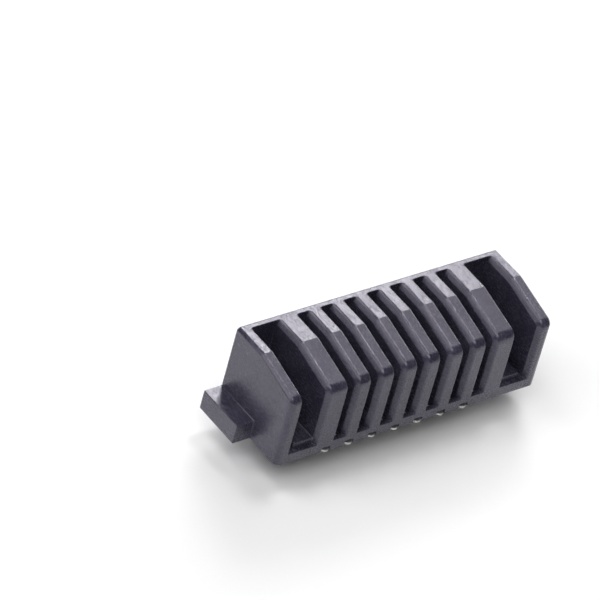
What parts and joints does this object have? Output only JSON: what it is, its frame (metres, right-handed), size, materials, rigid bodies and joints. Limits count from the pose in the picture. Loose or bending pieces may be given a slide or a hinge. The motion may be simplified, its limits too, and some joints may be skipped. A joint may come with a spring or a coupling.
{
  "type": "battery connector socket",
  "caption": "Board-mounted battery connector socket: a moulded housing with a row of blade slots, guide slots at both ends, locating posts below and stamped spring contacts inside.",
  "frame": {"origin": "middle of the body on the board plane, halfway between the two locating posts", "axes": "+X along the row of slots, +Y towards the closed back wall, +Z away from the board towards the mating side"},
  "size_m": [0.032, 0.0091, 0.0112],
  "materials": {
    "housing": "glass-filled black plastic with a fine satin grain",
    "contact": "plated copper alloy strip, satin"
  },
  "bodies": {
    "root": {"housing": "housing", "contact_1": "contact", "contact_2": "contact", "contact_3": "contact", "contact_4": "contact", "contact_5": "contact", "contact_6": "contact", "contact_7": "contact"}
  },
  "joints": []
}
